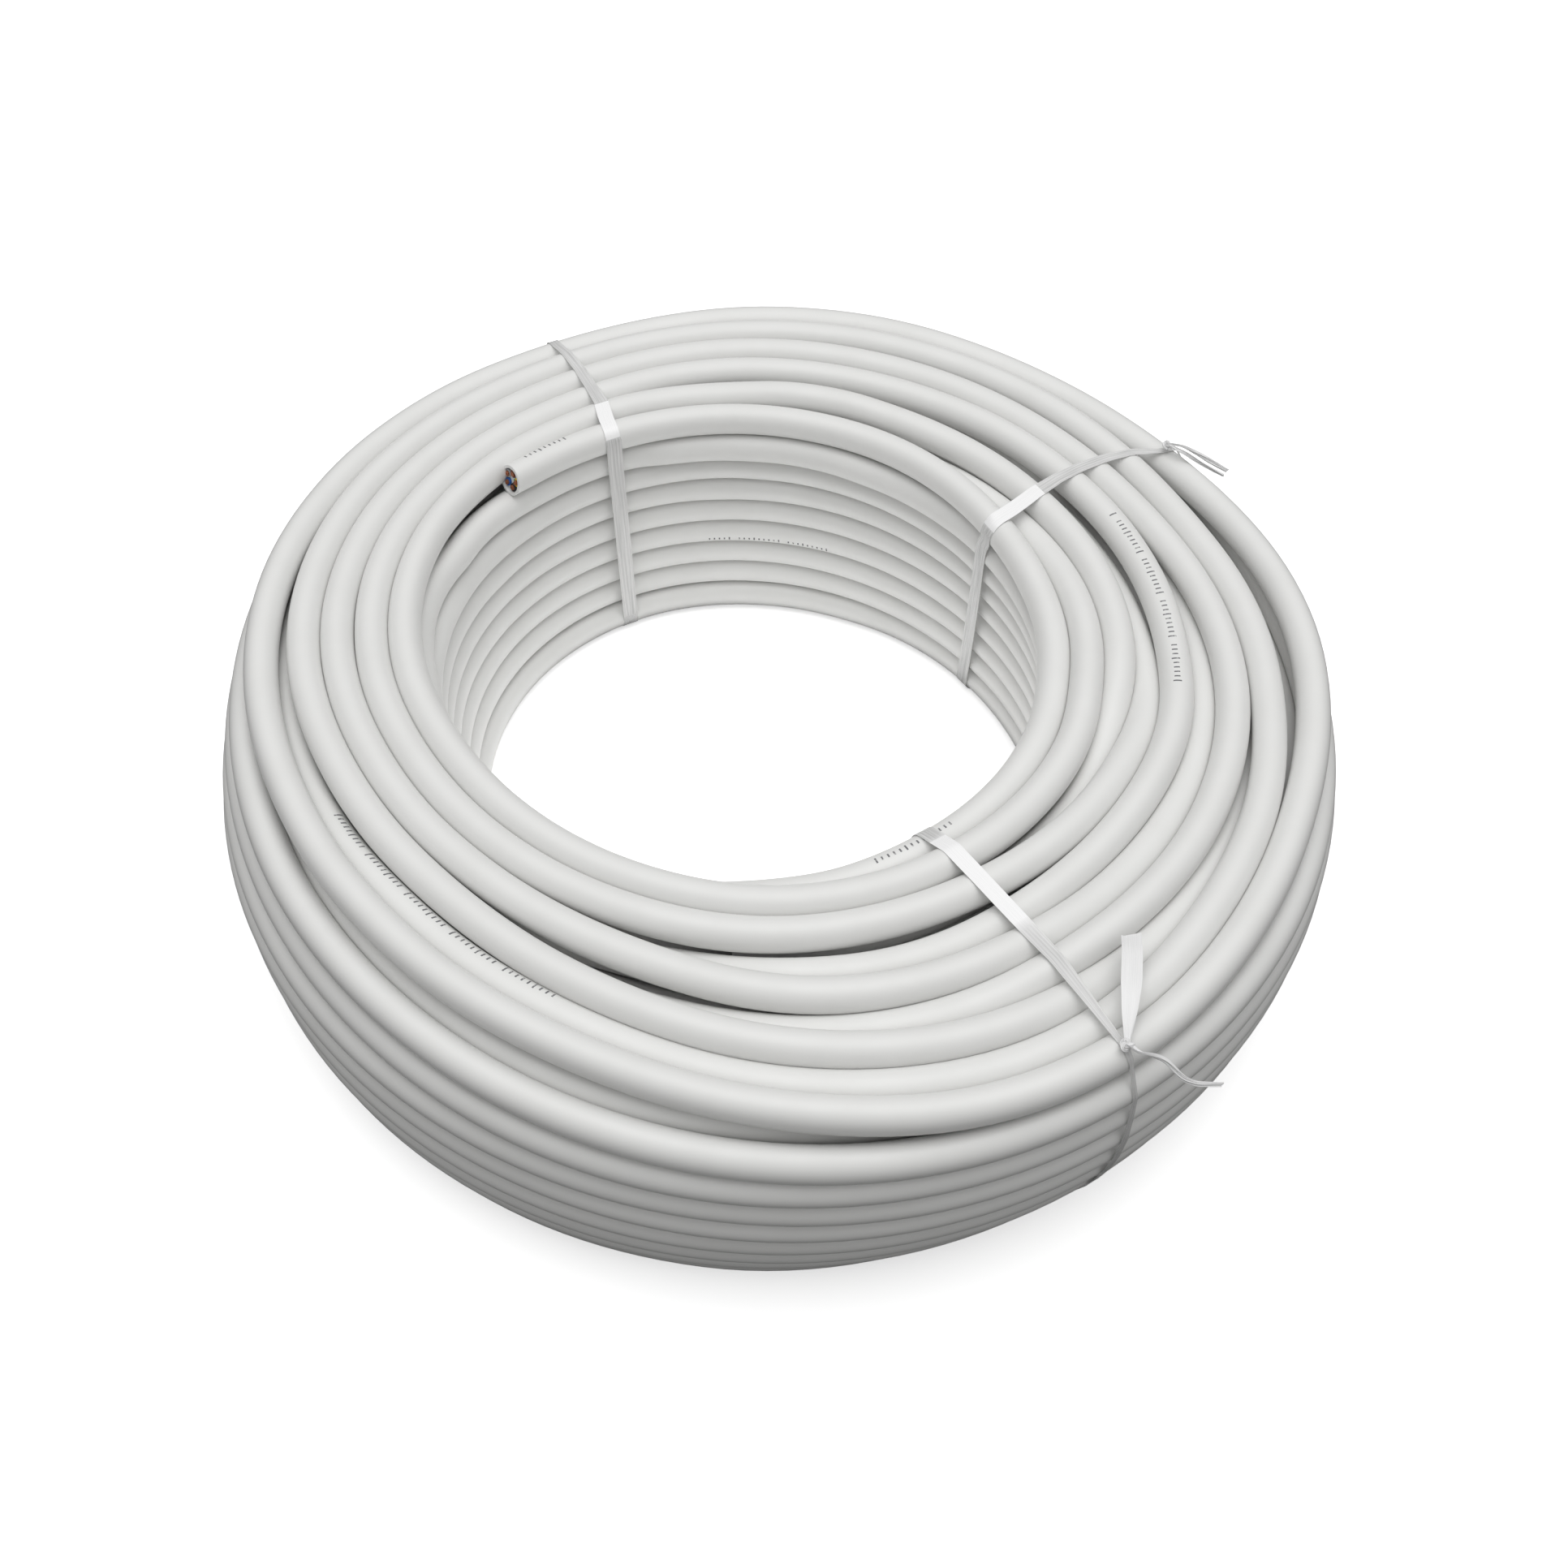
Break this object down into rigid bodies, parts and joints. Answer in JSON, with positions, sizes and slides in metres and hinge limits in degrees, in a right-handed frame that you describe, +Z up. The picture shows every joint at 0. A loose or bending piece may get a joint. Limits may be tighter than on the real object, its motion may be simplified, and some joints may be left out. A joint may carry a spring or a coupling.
{
  "type": "coil of electrical cable",
  "caption": "Flat-lying coil of round white sheathed mains cable, held by three film ties, with a cut end that shows its coloured cores.",
  "frame": {"origin": "on the floor, under the middle of the coil's outside", "axes": "+Z up along the bore of the coil; +X to the right and +Y away from the front, as the picture shows it"},
  "size_m": [0.4268, 0.4262, 0.1185],
  "materials": {
    "sheath": "satin PVC sheath, white",
    "film": "thin clear-white film, bunched",
    "core_brown": "brown PVC insulation",
    "core_green_yellow": "green and yellow PVC insulation",
    "core_black": "black PVC insulation",
    "core_blue": "blue PVC insulation",
    "core_grey": "grey PVC insulation",
    "copper": "cut bare copper strands"
  },
  "bodies": {
    "root": {"coil": "sheath", "free_end": "sheath", "core_brown": "core_brown", "core_green_yellow": "core_green_yellow", "core_black": "core_black", "core_blue": "core_blue", "core_grey": "core_grey", "wire_brown": "copper", "wire_green_yellow": "copper", "wire_black": "copper", "wire_blue": "copper", "wire_grey": "copper", "tie_back": "film", "tie_right": "film", "tie_front": "film"}
  },
  "joints": []
}
